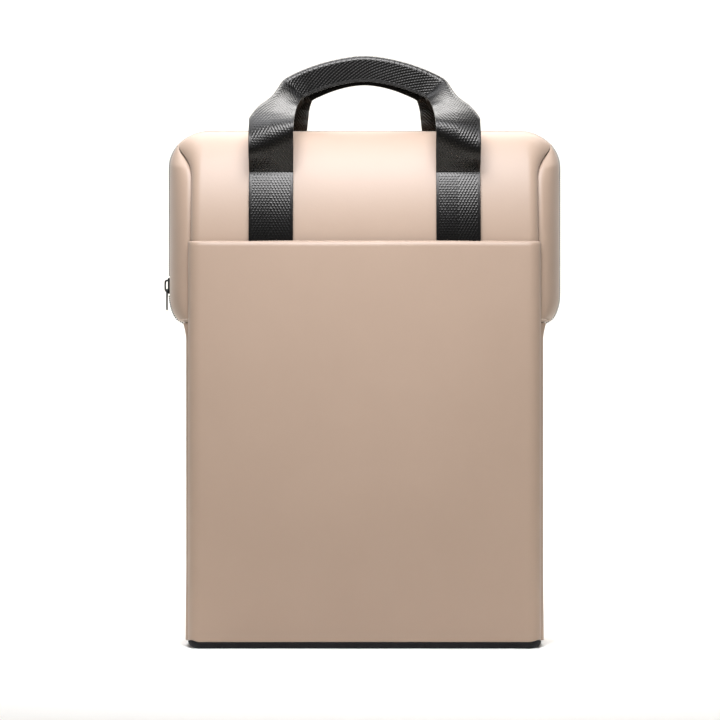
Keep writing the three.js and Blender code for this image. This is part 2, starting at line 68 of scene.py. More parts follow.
# Zip gusset
GUSSET_TOP = 13
EAR_REACH = 18
EAR_BOTTOM = 280
EAR_ROUND = 26
EAR_HEM = 3.8
GUSSET_CORNER = 31
GUSSET_CORNER_WIDTH = 36
GUSSET_FULLNESS = 0.62
SIDE_SAG = 3
EAR_FLARE = 2.6
FLARE_REACH = 14
SIDE_PUFF = 5.2
PUFF_REACH = 9
SAG_RISE = 4  # how soon above the base the side panels sag: more is sooner
GUSSET_GIRTH = 50  # of half of the gusset, from its wall to the zip
GUSSET_LENGTH = 700

# Zip
ZIP_WIDTH = 7
ZIP_TAPE = 1.4
TAPE_EDGE = 0.2
TAPE_LENGTH = 740
ZIP_RECESS = 1
COIL_PITCH = 1.7
COIL_WIDTH = 4.6
COIL_RIB = 1.2
COIL_LIFT = 0.25
COIL_SQUASH = 1.15

# Slip pocket
POCKET_HEIGHT = 350
POCKET_SLACK = 6.5
SLACK_RISE = 2.5  # how soon above the base the pocket is slack: more is sooner
MOUTH_ROOM = 1.2
HEM_HEIGHT = 7
HEM_DEPTH = 4.2
POCKET_SWAY = 1.2  # of the walls' unevenness
POCKET_SHIFT = 40  # of its waves, which don't follow those of the wall behind it

# Handles
WEBBING = 38
WEBBING_CLOTH = 1.6
HANDLE_SPAN = 161
HANDLE_DROP = 39
REAR_DROP = 50
HANDLE_RISE = 103
HANDLE_TUCK = 12
FOLD_RADIUS = 2.2
TWIST_REACH = 22

# Shoulder straps
STRAP_WIDTH = 52
STRAP_PAD = 8
STRAP_STANDOFF = 38
STRAP_WEBBING = 25
STRAP_OVERLAP = 24
ADJUSTER_WALL = 3
ADJUSTER_LENGTH = 13
ADJUSTER_BAR = 3
ADJUSTER_KEEPER = 4
ADJUSTER_SINK = 1  # of the bars' ends in the rails
RAIL_EDGE = 0.8
BAR_EDGE = 0.5

# Slider and pull tab
SLIDER_HEIGHT = 313
SLIDER_LENGTH = 14
SLIDER_WIDTH = 9
SLIDER_PLATE = 1.8
PLATE_EDGE = 0.7
NECK_EDGE = 0.3
BRIDGE_WIDTH = 3
BRIDGE_WIRE = 1.4
BRIDGE_ROOM = 1.8
BRIDGE_INSET = 1.5
TAB_WIDTH = 8
TAB_WIRE = 1.2
TAB_LENGTH = 19
TAB_EYE = 6
TAB_EYE_WIDTH = 4.4
FIT = 0.3

# Stitches
STITCH = 3.2
STITCH_GAP = 1.1
THREAD = 0.7
HEM_THREAD = 0.9
STITCH_SINK = 1

# Shares of a panel's own grid
UPRIGHT = 0.6
LEVEL = 0.82
SEAM_TURN = math.radians(80)
CORNER_TURN = math.radians(43)
TURN_STEPS = 4
SIDE_END = 0.42
CORNER_END = 0.58
SEAM_FADE = 5  # how close to a seam the cloth's unevenness ends: more is closer
BASE_FADE = 6

# Columns and rows of each kind of sheet
WALL_GRID = (150, 130)
POCKET_GRID = (150, 260)
GUSSET_GRID = (26, 420)
SIDE_GRID = (50, 90)
HANDLE_GRID = (48, 460)
BASE_GRID = (300, 24)
TAPE_GRID = (6, 420)
PAD_GRID = (44, 110)
WEBBING_GRID = (16, 200)
FLOOR_GRID = (2, 90)

half_width = BODY_WIDTH / 2
half_depth = BODY_DEPTH / 2
ear_half = half_width + EAR_REACH
pocket_lift = SEAM_GAP + SKIN
base_half = half_width - SEAM_INSET + pocket_lift
front_stitch = BODY_HEIGHT - HANDLE_DROP
rear_stitch = BODY_HEIGHT - REAR_DROP
last_turn = SEAM_TURN * (1 - 0.5 / TURN_STEPS)
seam_clear = SEAM_GAP + SKIN * math.cos(last_turn)

FRONT = {"side": -1, "roll": FRONT_ROLL}
BACK = {"side": 1, "roll": BACK_ROLL}
SIDES = (("left", -1), ("right", 1))

# Camera, level with the middle of the body and a little left of it
CAMERA_AWAY = 2.4
CAMERA_HEIGHT = 0.2477
CAMERA_LEFT = 0.004
LENS = 136.2
camera = bpy.data.objects.new("camera", bpy.data.cameras.new("camera"))
camera.data.lens = LENS
camera.data.sensor_width = 36
camera.location = (-CAMERA_LEFT, -CAMERA_AWAY, CAMERA_HEIGHT)
camera.rotation_euler = (math.radians(90), 0, 0)
bpy.context.scene.collection.objects.link(camera)
bpy.context.scene.camera = camera


def clamp01(x):
    return min(1.0, max(0.0, x))


def smooth(x):
    x = clamp01(x)
    return x * x * (3 - 2 * x)


def mix(a, b, share):
    return a + (b - a) * share


def linear(colour):
    """An sRGB hex colour as linear red, green, blue and alpha."""
    parts = [int(colour[i : i + 2], 16) / 255 for i in (1, 3, 5)]
    return [c / 12.92 if c <= 0.04045 else ((c + 0.055) / 1.055) ** 2.4 for c in parts] + [1.0]


# Materials


def add(tree, kind, inputs=(), out=0, **settings):
    """Adds a node with its settings, gives its inputs values or links, and returns an output."""
    made = tree.nodes.new("ShaderNode" + kind)
    for name, value in settings.items():
        setattr(made, name, value)
    for socket, value in inputs.items() if isinstance(inputs, dict) else enumerate(inputs):
        if isinstance(value, bpy.types.NodeSocket):
            tree.links.new(value, made.inputs[socket])
        else:
            made.inputs[socket].default_value = value
    return made.outputs[out]


def finish_named(name, **constants):
    """A material with one shader, whose constants are set on its own sockets."""
    material = bpy.data.materials.new(name)
    material.use_nodes = True
    shader = material.node_tree.nodes["Principled BSDF"]
    for socket, value in constants.items():
        shader.inputs[socket.replace("_", " ")].default_value = value
    return material, material.node_tree, shader


def link_patterns(tree, shader, **patterns):
    """Links patterns to the shader's sockets, named with _ for a space."""
    for socket, output in patterns.items():
        tree.links.new(output, shader.inputs[socket.replace("_", " ")])


# Coated fabric, in millimetres: its uneven tone, the coat's grain and the threads under it
TONE_PATCH = 70
COAT_GRAIN = 0.9
THREAD_PATCH = 2.6


def coated_fabric():
    """Woven polyester under a matte coat: even beige, a faint grain and a broad soft gloss."""
    material, tree, shader = finish_named(
        "coated polyester, beige", IOR=1.5, Sheen_Weight=0.12, Sheen_Roughness=0.5
    )
    place = add(tree, "TexCoord", out="Object")
    tone, grain, threads = [
        add(
            tree,
            "TexNoise",
            {"Vector": place, "Scale": 1 / (size * MM), "Detail": detail, "Roughness": rough},
        )
        for size, detail, rough in (
            (TONE_PATCH, 3, 0.5),
            (COAT_GRAIN, 3, 0.6),
            (THREAD_PATCH, 2, 0.5),
        )
    ]
    fine = add(tree, "Bump", {"Height": grain, "Strength": 0.16, "Distance": 0.12 * MM})
    link_patterns(
        tree,
        shader,
        Base_Color=add(
            tree, "Mix", {0: tone, 6: linear("#a78e79"), 7: linear("#ac937e")}, 2, data_type="RGBA"
        ),
        Roughness=add(tree, "MapRange", {"Value": grain, "To Min": 0.43, "To Max": 0.57}),
        Normal=add(
            tree, "Bump", {"Height": threads, "Strength": 0.12, "Distance": 0.3 * MM, "Normal": fine}
        ),
    )
    return material


# Herringbone webbing, in millimetres. The threads of the weft are drawn coarser than they
# are, because real ones are too fine to show.
RIDGE_PITCH = 2.7  # across the webbing, between two ridges
RIDGE_SLOPE = 1.88  # of a ridge, length along over width across
PICK = 2.3  # along the webbing, between two threads of the weft
CORD_PITCH = 1.2  # between two cords of the plain edge
SELVEDGE = 2.4
PICK_DEPTH = 0.9
DOT_LEVEL = 1.8
DOT_HEIGHT = 2 * (PICK_DEPTH + DOT_LEVEL)


def herringbone_webbing(width):
    """Black polyester webbing: slanted ridges of shiny yarn that meet in its middle, plain edges."""
    material, tree, shader = finish_named(
        f"herringbone webbing {width} mm, black", IOR=1.45, Specular_Tint=linear("#fff8ee")
    )
    uv = add(tree, "UVMap")
    across = add(tree, "Math", (add(tree, "SeparateXYZ", (uv,)),), operation="ABSOLUTE")
    along = add(tree, "SeparateXYZ", (uv,), 1)
    slanted = add(tree, "Math", (across, RIDGE_SLOPE, along), operation="MULTIPLY_ADD")
    ridge, pick, cord = [
        add(
            tree,
            "Math",
            (add(tree, "Math", (run, 2 * math.pi / (pitch * MM)), operation="MULTIPLY"),),
            operation="SINE",
        )
        for run, pitch in ((slanted, RIDGE_PITCH * RIDGE_SLOPE), (along, PICK), (across, CORD_PITCH))
    ]
    ridge = add(tree, "Math", (ridge, 1), operation="ADD")
    pick = add(tree, "Math", (pick, PICK_DEPTH, DOT_LEVEL), operation="MULTIPLY_ADD")
    cord = add(tree, "Math", (cord, 1), operation="ADD")
    dots = add(tree, "Math", (ridge, pick), operation="MULTIPLY")
    edge = add(tree, "Math", (across, (width / 2 - SELVEDGE) * MM), operation="GREATER_THAN")
    woven = add(tree, "Mix", {0: edge, 2: dots, 3: cord})
    raised = add(tree, "MapRange", {"Value": woven, "From Max": DOT_HEIGHT})
    link_patterns(
        tree,
        shader,
        Base_Color=add(
            tree, "Mix", {0: raised, 6: linear("#010101"), 7: linear("#060606")}, 2, data_type="RGBA"
        ),
        Roughness=add(tree, "MapRange", {"Value": raised, "To Min": 0.32, "To Max": 0.2}),
        Normal=add(tree, "Bump", {"Height": raised, "Strength": 0.5, "Distance": 0.3 * MM}),
    )
    return material


WAVE_LENGTH = 6.3  # scale of a wave pattern that repeats once a metre


def plain_cloth(name, dark, light, thread):
    """Plain woven cloth with threads of the given width in millimetres: a dull even weave."""
    material, tree, shader = finish_named(name, IOR=1.4, Roughness=0.7)
    place = add(tree, "TexCoord", out="Object")
    scale = 1 / (WAVE_LENGTH * thread * MM)
    waves = [
        add(tree, "TexWave", {"Vector": place, "Scale": scale}, 1, bands_direction=axis)
        for axis in ("X", "Z")
    ]
    weave = add(tree, "Math", waves, operation="MULTIPLY")
    link_patterns(
        tree,
        shader,
        Base_Color=add(
            tree, "Mix", {0: weave, 6: linear(dark), 7: linear(light)}, 2, data_type="RGBA"
        ),
        Normal=add(tree, "Bump", {"Height": weave, "Strength": 0.5, "Distance": 0.2 * MM}),
    )
    return material


def moulded(name, dark, light, roughness, metallic=0.0, grain=0.7):
    """A moulded or cast surface: a fine even texture and a slightly uneven gloss."""
    material, tree, shader = finish_named(name, Metallic=metallic)
    place = add(tree, "TexCoord", out="Object")
    texture = add(
        tree, "TexNoise", {"Vector": place, "Scale": 1 / (grain * MM), "Detail": 3, "Roughness": 0.6}
    )
    gloss = {"Value": texture, "To Min": roughness - 0.07, "To Max": roughness + 0.08}
    link_patterns(
        tree,
        shader,
        Base_Color=add(
            tree, "Mix", {0: texture, 6: linear(dark), 7: linear(light)}, 2, data_type="RGBA"
        ),
        Roughness=add(tree, "MapRange", gloss),
        Normal=add(tree, "Bump", {"Height": texture, "Strength": 0.2, "Distance": 0.05 * MM}),
    )
    return material


fabric = coated_fabric()
handle_webbing = herringbone_webbing(WEBBING)
strap_webbing = herringbone_webbing(STRAP_WEBBING)
# The base is a black coated panel, drawn near black so that it also stands in for the contact shadow
# under the bag's rounded bottom edge: partly its own colour, partly painted shade.
black_base_and_painted_shadow = plain_cloth("coated polyester, black, with painted contact shadow", "#030303", "#0b0b0c", 0.9)
tape_cloth = plain_cloth("zip tape, black", "#0c0c0d", "#1e1e20", 0.8)
coil_nylon = moulded("nylon coil, black", "#0e0e0f", "#1a1a1b", 0.35)
zinc = moulded("painted zinc casting, black", "#0b0b0c", "#151516", 0.3, 0.4, 1.5)
acetal = moulded("moulded acetal, black", "#121213", "#1c1c1e", 0.5)
beige_thread = moulded("polyester thread, beige", "#d6c2ae", "#ead9c9", 0.6, 0, 0.5)
black_thread = moulded("polyester thread, grey black", "#5a5a5c", "#8a8a8d", 0.5, 0, 0.5)


# The body's surfaces, in millimetres


def base_seam(x, y):
    """Height of the seam between the base and the walls, a little higher at the four corners."""
    near_side = smooth((abs(x) - half_width + LIFT_REACH) / LIFT_REACH)
    near_face = smooth((abs(y) - half_depth + LIFT_REACH) / LIFT_REACH)
    return BASE_RIM + CORNER_LIFT * near_side * near_face


def wall_profile(wall, up):
    """The middle line of the front or back wall, from the base (0) over the roll to the gusset (1)."""
    turn = math.pi / 2 * clamp01((up - UPRIGHT) / (1 - UPRIGHT))
    reach = half_depth - GUSSET_TOP
    outwards = Vector((math.cos(turn) / reach, math.sin(turn) / wall["roll"])).normalized()
    spread = smooth(1 - (1 - turn / (math.pi / 2)) * SPREAD_RATE)
    return {
        "y": wall["side"] * (half_depth - reach * (1 - math.cos(turn))),
        "z": BODY_HEIGHT - wall["roll"] * (1 - math.sin(turn)),
        "normal_y": wall["side"] * outwards.x,
        "normal_z": outwards.y,
        "half": half_width - SEAM_INSET + TOP_SPREAD * spread,
        "round": mix(SEAM_ROUND, CORNER_ROUND, spread),
        "turn": mix(SEAM_TURN, CORNER_TURN, spread),
    }


def wall_point(wall, across, up, lift=0.0):
    """A point of the wall's outer face: across runs from -1 to 1 between the side seams."""
    line = wall_profile(wall, up)
    level = line["half"] - line["round"]
    turn = line["turn"] * max(0.0, abs(across) - LEVEL) / (1 - LEVEL)
    in_level = level * min(1.0, abs(across) / LEVEL)
    x = math.copysign(in_level + (line["round"] + lift) * math.sin(turn), across)
    sink = line["round"] - (line["round"] + lift) * math.cos(turn)
    y = line["y"] - sink * line["normal_y"]
    top = line["z"] - sink * line["normal_z"]
    low = base_seam(x, y) + SEAM_GAP
    return Vector((x, y, mix(low, top, up / UPRIGHT) if up < UPRIGHT else top))


def wall_share(wall, z):
    """How far up the wall's rows a height lies."""
    start = BODY_HEIGHT - wall["roll"]
    low = BASE_RIM + SEAM_GAP
    if z <= start:
        return UPRIGHT * (z - low) / (start - low)
    return UPRIGHT + (1 - UPRIGHT) * math.asin(clamp01((z - start) / wall["roll"])) / (math.pi / 2)


def zip_line(along):
    """A point of half of the zip, from its lower end (0) to the top middle (1), and the way out."""
    z = mix(EAR_BOTTOM, BODY_HEIGHT - GUSSET_CORNER, clamp01(along / SIDE_END))
    turn = math.pi / 2 * clamp01((along - SIDE_END) / (CORNER_END - SIDE_END))
    level = clamp01((along - CORNER_END) / (1 - CORNER_END))
    below = clamp01(1 - (z - EAR_BOTTOM) / EAR_ROUND)
    reach = mix(EAR_HEM, EAR_REACH, math.sqrt(1 - below**2))
    x = half_width + reach - GUSSET_CORNER_WIDTH * (1 - math.cos(turn))
    z += GUSSET_CORNER * math.sin(turn)
    return Vector((x * (1 - level), 0, z)), Vector((math.cos(turn), 0, math.sin(turn)))


def seam_line(wall, along):
    """The gusset's edge beside the wall's edge, and the direction out of the wall there."""
    corner_middle = (SIDE_END + CORNER_END) / 2
    corner_start = mix(UPRIGHT, 1, 0.5)
    up = mix(wall_share(wall, EAR_BOTTOM), corner_start, clamp01(along / SIDE_END))
    if along > SIDE_END:
        up = mix(corner_start, 1, clamp01((along - SIDE_END) / (corner_middle - SIDE_END)))
    across = 1.0
    if along > corner_middle:
        across = mix(1, LEVEL, clamp01((along - corner_middle) / (CORNER_END - corner_middle)))
    if along > CORNER_END:
        across = LEVEL * (1 - (along - CORNER_END) / (1 - CORNER_END))
    line = wall_profile(wall, up)
    down = line["normal_z"] * clamp01((across - LEVEL) / (1 - LEVEL))
    back = seam_clear + SEAM_GAP * (1 - 2 * down)
    place = wall_point(wall, across, up) + Vector((0, -wall["side"] * back, -down * seam_clear))
    return place, Vector((0, line["normal_y"], line["normal_z"]))


def bezier(a, b, c, d, t):
    s = 1 - t
    return a * s**3 + b * (3 * s * s * t) + c * (3 * s * t * t) + d * t**3


def gusset_point(wall, along, across):
    """A point of half of the gusset: along runs from -1, the left end, over the top to 1."""
    inward = 1 - abs(along)
    seam, outwards = seam_line(wall, inward)
    zip_place, _ = zip_line(inward)
    edge = zip_place + Vector((0, wall["side"] * ZIP_WIDTH / 2, 0))
    shoulder = Vector((zip_place.x, seam.y, zip_place.z))
    full_seam, full_edge = [place.lerp(shoulder, GUSSET_FULLNESS) for place in (seam, edge)]
    point = bezier(seam, full_seam, full_edge, edge, across)
    groove = SEAM_GROOVE * math.exp(-((across / GROOVE_SHARE) ** 2))
    point -= outwards * (groove * outwards.y**4)
    if along < 0:
        point.x = -point.x
    return point


def tape_point(along, across, lift=0.0):
    """A point of the zip tape, a little below the gusset's two edges."""
    place, outwards = zip_line(1 - abs(along))
    point = place + outwards * (lift - ZIP_RECESS)
    point.y = (ZIP_WIDTH / 2 - SEAM_GAP) * across
    if along < 0:
        point.x = -point.x
    return point


def side_point(side, back, up):
    """A point of the lower side panel: back runs from 0, the front seam, to 1, the rear seam."""
    z = EAR_BOTTOM - SEAM_GAP
    front = wall_point(FRONT, side, wall_share(FRONT, z) * up)
    rear = wall_point(BACK, side, wall_share(BACK, z) * up)
    front.y += seam_clear
    rear.y -= seam_clear
    point = front.lerp(rear, back)
    flare = EAR_FLARE * clamp01(1 - (1 - up) * EAR_BOTTOM / FLARE_REACH) ** 1.5
    behind = min(back, 1 - back) * BODY_DEPTH
    puff = (SIDE_PUFF + flare) * smooth(behind / PUFF_REACH)
    sag = (SIDE_SAG + SIDE_PUFF) * math.sin(math.pi * back) ** 2 * smooth(up * SAG_RISE)
    point.x += side * (puff - sag)
    point.z = mix(base_seam(point.x, point.y) + SEAM_GAP, z, up)
    return point


# Mesh making


def finished(name, bm, material, body="bag", nodes=()):
    """Makes a mesh object at the origin that rides on a body and stands for its CAD nodes."""
    mesh = bpy.data.meshes.new(name)
    bm.to_mesh(mesh)
    bm.free()
    mesh.materials.append(material)
    piece = bpy.data.objects.new(name, mesh)
    bpy.context.scene.collection.objects.link(piece)
    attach(piece, body)
    if nodes:
        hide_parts(*nodes)
    return piece


def sheet_mesh(place, grid, size=(1, 1), flip=False):
    """A grid whose points place(u, v) puts in place; its UV map has real lengths in metres."""
    bm = bmesh.new()
    bmesh.ops.create_grid(bm, x_segments=grid[0], y_segments=grid[1], size=0.5)
    uv = bm.loops.layers.uv.new("UVMap")
    for face in bm.faces:
        face.smooth = True
        for loop in face.loops:
            u, v = loop.vert.co.x, loop.vert.co.y
            loop[uv].uv = (u * size[0] * MM, v * size[1] * MM)
    for vert in bm.verts:
        vert.co = place(vert.co.x + 0.5, vert.co.y + 0.5) * MM
    if flip:
        bmesh.ops.reverse_faces(bm, faces=bm.faces)
    return bm


def thickened(piece, thickness, edge=0.35, even=True):
    """Gives a sheet its wall, inwards, and rounds the wall's edges."""
    wall = piece.modifiers.new("wall", "SOLIDIFY")
    wall.thickness = thickness * MM
    wall.offset = -1
    wall.use_even_offset = even
    rounded = piece.modifiers.new("edge", "BEVEL")
    rounded.width = edge * MM
    rounded.segments = 2
    rounded.limit_method = "ANGLE"
    rounded.angle_limit = math.radians(55)
    return piece


class Path:
    """A smooth curve through points, read by its share of length."""

    def __init__(self, points, samples=24):
        self.points = [Vector(p) for p in points]
        count = (len(points) - 1) * samples
        self.steps = [i / count for i in range(count + 1)]
        places = [self.at(t) for t in self.steps]
        self.lengths = [0.0]
        for a, b in zip(places, places[1:]):
            self.lengths.append(self.lengths[-1] + (b - a).length)
        self.length = self.lengths[-1]

    def at(self, t):
        """The centripetal curve through the points, at an even share of its stretches."""
        points = self.points
        place = clamp01(t) * (len(points) - 1)
        i = min(int(place), len(points) - 2)
        t = place - i
        p1, p2 = points[i], points[i + 1]
        p0 = points[i - 1] if i > 0 else p1 * 2 - p2
        p3 = points[i + 2] if i + 2 < len(points) else p2 * 2 - p1
        d0, d1, d2 = [max(1e-4, math.sqrt((b - a).length)) for a, b in ((p0, p1), (p1, p2), (p2, p3))]
        m1 = ((p1 - p0) / d0 - (p2 - p0) / (d0 + d1) + (p2 - p1) / d1) * d1
        m2 = ((p2 - p1) / d1 - (p3 - p1) / (d1 + d2) + (p3 - p2) / d2) * d1
        return (
            p1 * (2 * t**3 - 3 * t**2 + 1)
            + m1 * (t**3 - 2 * t**2 + t)
            + p2 * (3 * t**2 - 2 * t**3)
            + m2 * (t**3 - t**2)
        )

    def step(self, share):
        """The share of stretches at a share of length."""
        wanted = clamp01(share) * self.length
        i = min(max(bisect.bisect_left(self.lengths, wanted), 1), len(self.lengths) - 1)
        low, high = self.lengths[i - 1], self.lengths[i]
        return mix(self.steps[i - 1], self.steps[i], (wanted - low) / max(high - low, 1e-9))

    def point(self, share):
        return self.at(self.step(share))

    def tangent(self, share):
        near = 0.5 / self.length
        return (self.point(share + near) - self.point(share - near)).normalized()


def column(values, share):
    """A value between the even rows of a list."""
    place = clamp01(share) * (len(values) - 1)
    row = min(int(place), len(values) - 2)
    return mix(values[row], values[row + 1], place - row)


def stitches(name, places, material, thread=THREAD, body="bag"):
    """Short thread stitches, each from one point to the next of a pair and lying on its normal."""
    bm = bmesh.new()
    for start, end, outwards in places:
        run = (end - start) * MM
        middle = (start + end) / 2 * MM + outwards * (thread * 0.15 * MM)
        made = bmesh.ops.create_icosphere(bm, subdivisions=1, radius=1.0)["verts"]
        turn = run.to_track_quat("Z", "Y").to_matrix().to_4x4()
        size = Matrix.Diagonal((thread / 2 * MM, thread / 2 * MM, run.length / 2, 1))
        bmesh.ops.transform(bm, matrix=Matrix.Translation(middle) @ turn @ size, verts=made)
    for face in bm.faces:
        face.smooth = True
    return finished(name, bm, material, body)


def stitch_row(place, normal, length):
    """Pairs of points along place(0..1), as long as a stitch and its gap apart."""
    count = max(1, round(length / (STITCH + STITCH_GAP)))
    share = STITCH / (STITCH + STITCH_GAP) / count
    return [(place(i / count), place(i / count + share), normal(i / count)) for i in range(count)]


# Front, pocket and back

# Waves of the soft walls, in millimetres: their height, and their run for each radian
BROAD_HEIGHT, BROAD_ACROSS, BROAD_UP = 0.45, 61, 83
NARROW_HEIGHT, NARROW_ACROSS, NARROW_UP = 0.2, 33, 47


def sway(x, z):
    """Shallow unevenness of soft cloth: broad and narrower waves that don't line up."""
    broad = math.sin(x / BROAD_ACROSS + 0.7) * math.sin(z / BROAD_UP + 1.9)
    narrow = math.sin(x / NARROW_ACROSS - z / NARROW_UP + 2.1)
    return BROAD_HEIGHT * broad + NARROW_HEIGHT * narrow


def soft_wall(wall, across, up, lift=0.0):
    """The wall's face with its unevenness, which fades towards the seams."""
    point = wall_point(wall, across, up, lift)
    free = smooth((1 - abs(across)) * SEAM_FADE) * smooth(up * BASE_FADE)
    free *= smooth((1 - up) * SEAM_FADE)
    line = wall_profile(wall, up)
    depth = sway(point.x, point.z) * free
    return point + Vector((0, line["normal_y"], line["normal_z"])) * depth


def wall_sheet(name, wall, node_name):
    bm = sheet_mesh(
        lambda u, v: soft_wall(wall, 2 * u - 1, v), WALL_GRID, (BODY_WIDTH, BODY_HEIGHT), wall is BACK
    )
    thickened(finished(name, bm, fabric, nodes=[node_name]), SKIN)


wall_sheet("front_skin", FRONT, "front_panel")
wall_sheet("back_skin", BACK, "back_panel")


def pocket_point(across, up):
    """The pocket's outer face, whose mouth is folded back to a round hem."""
    top = wall_share(FRONT, POCKET_HEIGHT)
    height = up * POCKET_HEIGHT
    slack = POCKET_SLACK * (1 - across**2) * smooth(up * SLACK_RISE)
    hem = clamp01((height - POCKET_HEIGHT + HEM_HEIGHT) / HEM_HEIGHT)
    open_share = min(1.0, (slack + MOUTH_ROOM) / HEM_DEPTH)
    fold = HEM_DEPTH * open_share * (1 - math.sqrt(1 - hem**2))
    point = wall_point(FRONT, across, up * top, pocket_lift + slack)
    free = smooth((1 - abs(across)) * SEAM_FADE) * smooth(up * BASE_FADE) * (1 - hem)
    point.y += fold - sway(point.x + POCKET_SHIFT, point.z) * free * POCKET_SWAY
    return point


pocket = finished(
    "pocket_panel",
    sheet_mesh(lambda u, v: pocket_point(2 * u - 1, v), POCKET_GRID, (BODY_WIDTH, POCKET_HEIGHT)),
    fabric,
    nodes=["front_pocket"],
)
thickened(pocket, SKIN)

# Zip gusset and side panels
for half_name, wall in (("front", FRONT), ("rear", BACK)):
    gusset = finished(
        f"gusset_{half_name}_skin",
        sheet_mesh(
            lambda u, v: gusset_point(wall, 2 * v - 1, u),
            GUSSET_GRID,
            (GUSSET_GIRTH, GUSSET_LENGTH),
            wall is FRONT,
        ),
        fabric,
        nodes=[f"gusset_{half_name}"],
    )
    thickened(gusset, SKIN, even=False)

for side_name, side in SIDES:
    panel = finished(
        f"side_{side_name}_skin",
        sheet_mesh(
            lambda u, v: side_point(side, u, v), SIDE_GRID, (BODY_DEPTH, EAR_BOTTOM), side < 0
        ),
        fabric,
        nodes=[f"side_panel_{side_name}"],
    )
    thickened(panel, SKIN)

EAR_HEM_ROW = 0.993  # of the way from the gusset's top down to the ear's lower edge
EAR_HEM_LENGTH = 52
EAR_HEM_SPAN = (0.06, 0.92)  # of the way from the wall's seam to the zip
for side_name, side in SIDES:
    hem_places = []
    for wall in (FRONT, BACK):
        hem_places += stitch_row(
            lambda u: gusset_point(wall, side * EAR_HEM_ROW, mix(*EAR_HEM_SPAN, u)),
            lambda u: Vector((side, wall["side"], 0)).normalized(),
            EAR_HEM_LENGTH,
        )
    stitches(
        f"ear_hem_stitches_{side_name}", hem_places, beige_thread, HEM_THREAD
    )


# Handles

# across: share of half the span; out: share of half the body's depth; up: share of the rise
# above the stitch line; fold: how far its fold has come from the outer edge (0) to the middle (1)
FREE_FRONT = [
    (1.0, 0.89, 0.035, 0),
    (1.0, 1.09, 0.2, 0),
    (0.995, 1.07, 0.36, 0.05),
    (0.985, 0.9, 0.47, 0.28),
    (0.97, 0.68, 0.56, 0.5),
    (0.945, 0.44, 0.65, 0.8),
    (0.9, 0.25, 0.735, 0.98),
    (0.845, 0.14, 0.8, 1),
    (0.74, 0.11, 0.848, 1),
    (0.6, 0.1, 0.895, 1),
    (0.42, 0.09, 0.942, 1),
    (0.2, 0.085, 0.98, 1),
    (0, 0.083, 0.995, 1),
]
FREE_REAR = [
    (0.97, 1.06, 0.2, 0),
    (0.92, 1.02, 0.35, 0.05),
    (0.88, 0.86, 0.46, 0.28),
    (0.86, 0.65, 0.55, 0.5),
    (0.84, 0.43, 0.635, 0.8),
    (0.805, 0.25, 0.715, 0.98),
    (0.76, 0.14, 0.778, 1),
    (0.68, 0.11, 0.825, 1),
    (0.56, 0.1, 0.87, 1),
    (0.4, 0.09, 0.918, 1),
    (0.2, 0.085, 0.958, 1),
    (0, 0.083, 0.973, 1),
]
HANDLE_SHEAR = 9  # how much sooner the outer edge bends back than the inner one


def sewn_rows(wall, low, stitch):
    """The sewn part of a leg, which lies on the wall from low up to the stitch line."""
    rows = []
    for share in (0, 0.25, 0.5, 0.7, 0.85, 0.95, 1):
        height = mix(low, stitch, share)
        line = wall_profile(wall, wall_share(wall, height))
        lift = SEAM_GAP + WEBBING_CLOTH
        z = min(height, line["z"]) + lift * line["normal_z"]
        rows.append(Vector((HANDLE_SPAN / 2, line["y"] + lift * line["normal_y"], z)))
    return rows


def handle(name, wall, stitch, low, free_rows, nodes):
    """One webbing from behind the pocket over the grip and down again, folded in half at the grip."""
    half = HANDLE_SPAN / 2
    free = [
        Vector((across * half, wall["side"] * out * half_depth, front_stitch + up * HANDLE_RISE))
        for across, out, up, _ in free_rows
    ]
    sewn = sewn_rows(wall, low, stitch)
    leg = [Vector((-p.x, p.y, p.z)) for p in sewn + free]
    folds = [0] * len(sewn) + [row[3] for row in free_rows]
    other = [Vector((-p.x, p.y, p.z)) for p in reversed(leg[:-1])]
    fold_rows = folds + folds[-2::-1]
    spine = Path(leg + other)
    depthwise = Vector((0, -wall["side"], 0))
    bend = FOLD_RADIUS * math.pi
    shear = HANDLE_SHEAR / spine.length

    def outer(u, v):
        side = 2 * u - 1
        tangent = spine.tangent(v)
        inside = (depthwise.cross(tangent) * -wall["side"]).normalized()
        behind = (tangent.cross(inside) * -wall["side"]).normalized()
        folded = smooth(column(fold_rows, spine.step(v)))
        past = max(0.0, folded - 1 - side) * WEBBING / 2
        angle = min(past / FOLD_RADIUS, math.pi)
        rest = max(0.0, past - bend)
        inwards = max(side, folded - 1) * WEBBING / 2 - FOLD_RADIUS * math.sin(angle) + rest
        backwards = FOLD_RADIUS * (1 - math.cos(angle))
        place = spine.point(v)
        point = place + inside * inwards + behind * backwards
        free = smooth((place.z - stitch) / TWIST_REACH) * (1 - folded)
        upwards = 1 if v < 0.5 else -1
        point.y += spine.point(v - side * upwards * shear * free).y - place.y
        return point

    bm = sheet_mesh(outer, HANDLE_GRID, (WEBBING, spine.length), wall is FRONT)
    piece = finished(name, bm, handle_webbing, nodes=nodes)
    thickened(piece, WEBBING_CLOTH)
    return outer, spine


front_low = POCKET_HEIGHT - HANDLE_TUCK
rear_low = rear_stitch - (front_stitch - front_low)

STITCH_RISE = 1.6  # of the row above the stitch line
STITCH_SPAN = (0.06, 0.94)  # of the webbing's width
LEG_STEPS = 200  # up half of the webbing, to find the row


def handle_stitches(name, outer, spine, wall, stitch):
    """A row of stitches across both legs, where they are sewn on last."""
    height = stitch + STITCH_RISE
    leg = [i / (2 * LEG_STEPS) for i in range(LEG_STEPS)]
    row = min(leg, key=lambda share: abs(spine.point(share).z - height))
    places = []
    for share in (row, 1 - row):
        places += stitch_row(
            lambda u: outer(mix(*STITCH_SPAN, u), share),
            lambda u: Vector((0, wall["side"], 0)),
            WEBBING,
        )
    stitches(name, places, black_thread)


